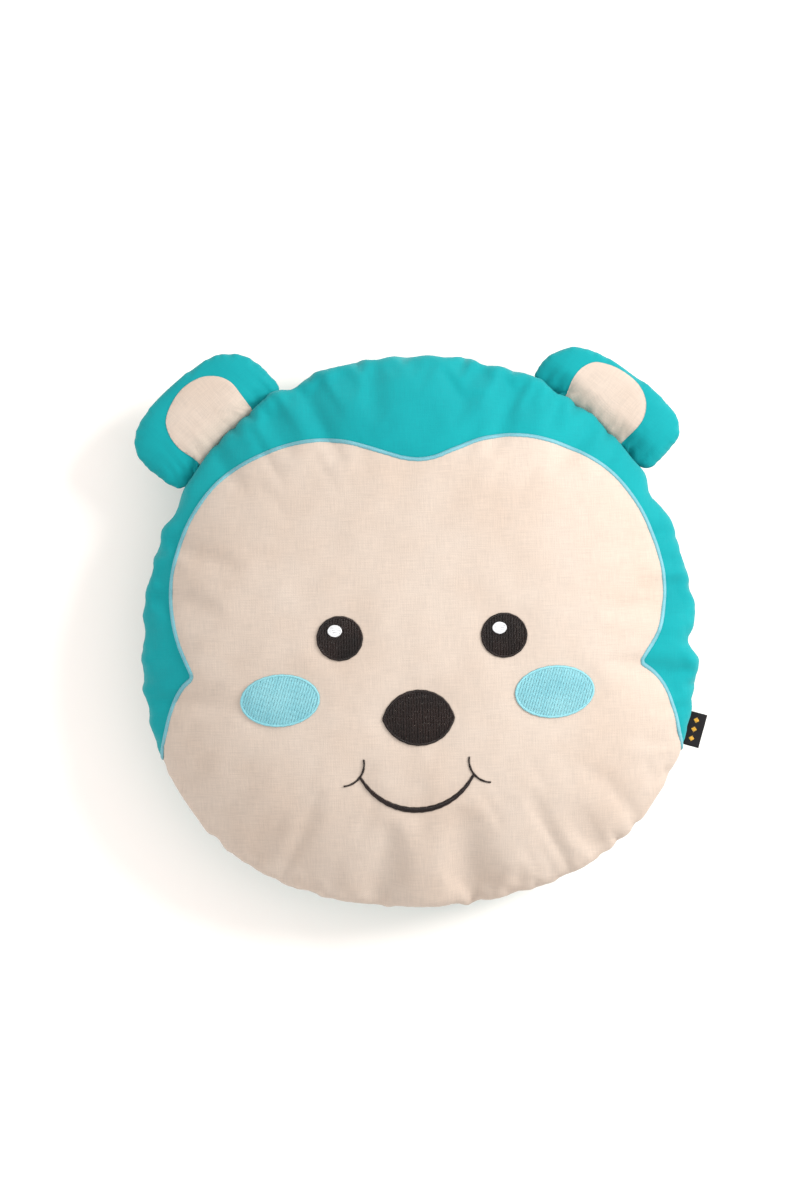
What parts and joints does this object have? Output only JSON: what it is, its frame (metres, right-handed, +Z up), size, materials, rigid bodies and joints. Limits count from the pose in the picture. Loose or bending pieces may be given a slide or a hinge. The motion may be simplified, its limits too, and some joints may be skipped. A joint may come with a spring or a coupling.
{
  "type": "stuffed monkey head cushion",
  "caption": "Round plush cushion in the shape of a monkey's head, with folding ears, an appliqued face and embroidered features.",
  "frame": {"origin": "middle of the flat patch on the back that the cushion rests on", "axes": "+X across the face to the side with the label, +Y towards the top of the head, +Z up, out of the face"},
  "size_m": [0.3879, 0.3854, 0.118],
  "materials": {
    "teal_cotton": "woven matte",
    "cream_cotton": "woven matte",
    "pale_blue_thread": "satin embroidery thread",
    "dark_thread": "satin embroidery thread",
    "white_thread": "satin embroidery thread",
    "teal_thread": "spun sewing thread",
    "backing": "non-woven",
    "filling": "loose polyester fibre",
    "label_tape": "woven satin tape",
    "gold_thread": "satin weft thread"
  },
  "bodies": {
    "head": {"head_filling": "filling", "back_panel": "teal_cotton", "front_panel": "teal_cotton", "face_panel": "cream_cotton", "face_border_stitching": "pale_blue_thread", "left_eye": "dark_thread", "right_eye": "dark_thread", "left_eye_highlight": "white_thread", "right_eye_highlight": "white_thread", "nose": "dark_thread", "mouth": "dark_thread", "left_smile_crease": "dark_thread", "right_smile_crease": "dark_thread", "left_cheek": "pale_blue_thread", "right_cheek": "pale_blue_thread", "embroidery_backing": "backing", "seam_stitching": "teal_thread", "closing_stitches": "teal_thread", "left_ear_root": "teal_cotton", "right_ear_root": "teal_cotton", "label_root": "label_tape"},
    "left_ear": {"left_ear_front": "teal_cotton", "left_ear_back": "teal_cotton", "left_ear_patch": "cream_cotton", "left_ear_filling": "filling", "left_ear_stitching": "teal_thread"},
    "right_ear": {"right_ear_front": "teal_cotton", "right_ear_back": "teal_cotton", "right_ear_patch": "cream_cotton", "right_ear_filling": "filling", "right_ear_stitching": "teal_thread"},
    "label": {"label_tape": "label_tape", "label_motif": "gold_thread"}
  },
  "joints": [
    {"name": "left_ear_fold", "type": "hinge", "parent": "head", "child": "left_ear", "pos_m": [-0.12958, 0.13896, 0.05], "axis": [0.7314, 0.682, 0], "range_deg": [-35, 40], "stiffness_Nm_per_rad": 0.05},
    {"name": "right_ear_fold", "type": "hinge", "parent": "head", "child": "right_ear", "pos_m": [0.12958, 0.13896, 0.05], "axis": [0.7314, -0.682, 0], "range_deg": [-35, 40], "stiffness_Nm_per_rad": 0.05},
    {"name": "label_flap", "type": "hinge", "parent": "head", "child": "label", "pos_m": [0.18297, -0.07016, 0.0494], "axis": [-0.2924, -0.9563, 0], "range_deg": [-70, 70], "stiffness_Nm_per_rad": 0.002}
  ]
}
